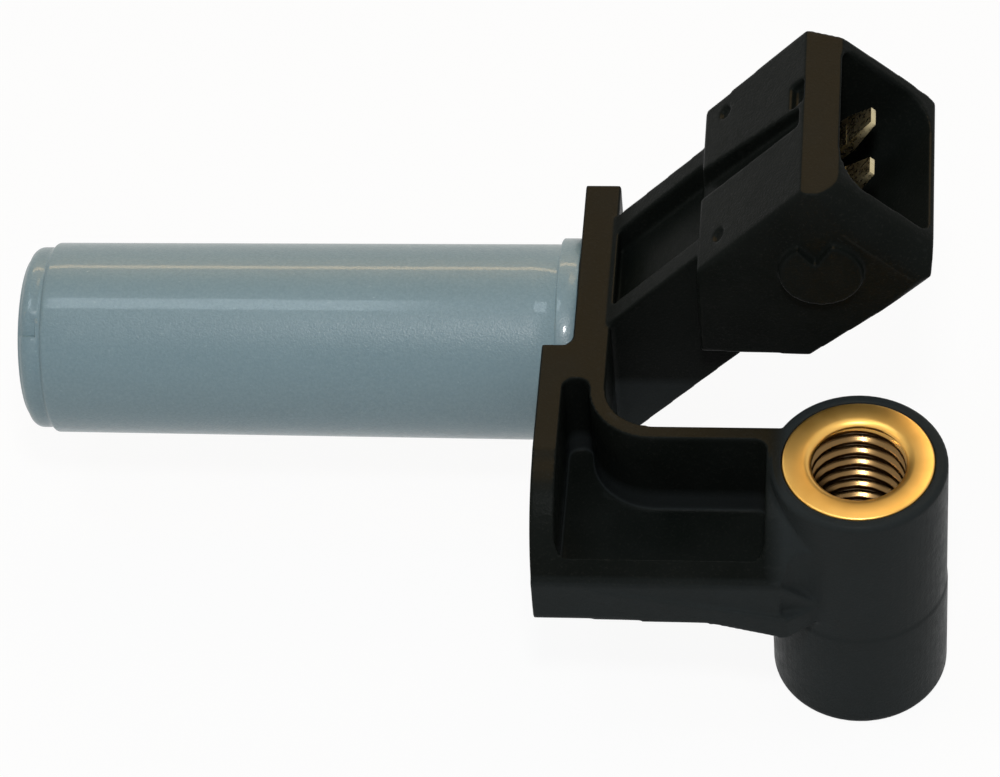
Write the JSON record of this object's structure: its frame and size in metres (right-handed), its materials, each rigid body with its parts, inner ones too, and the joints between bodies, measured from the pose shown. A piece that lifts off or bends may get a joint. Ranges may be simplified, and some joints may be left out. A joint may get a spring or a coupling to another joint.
{
  "type": "crankshaft position sensor",
  "caption": "Inductive speed sensor: closed cylindrical barrel, flange, offset tray bracket with threaded boss, and an angled two-blade plug socket.",
  "frame": {"origin": "middle of the round sensing face at the barrel's closed end", "axes": "+X along the barrel from the sensing face towards the flange, +Z along the threaded boss towards its upper face, +Y away from the boss"},
  "size_m": [0.0701, 0.0344, 0.0393],
  "materials": {
    "grey_plastic": "satin, fine grain",
    "black_plastic": "matte, fine spark grain",
    "brass": "turned, bright",
    "tinned": "tinned, slightly golden",
    "bobbin_plastic": "matte",
    "enamelled_copper": "enamelled wire",
    "soft_iron": "turned",
    "magnet_alloy": "ground"
  },
  "bodies": {
    "root": {"barrel_sleeve": "grey_plastic", "body_moulding": "black_plastic", "threaded_insert": "brass", "terminal_near": "tinned", "terminal_far": "tinned", "coil_bobbin": "bobbin_plastic", "coil_winding": "enamelled_copper", "pole_pin": "soft_iron", "magnet": "magnet_alloy", "coil_lead_near": "enamelled_copper", "coil_lead_far": "enamelled_copper"}
  },
  "joints": []
}
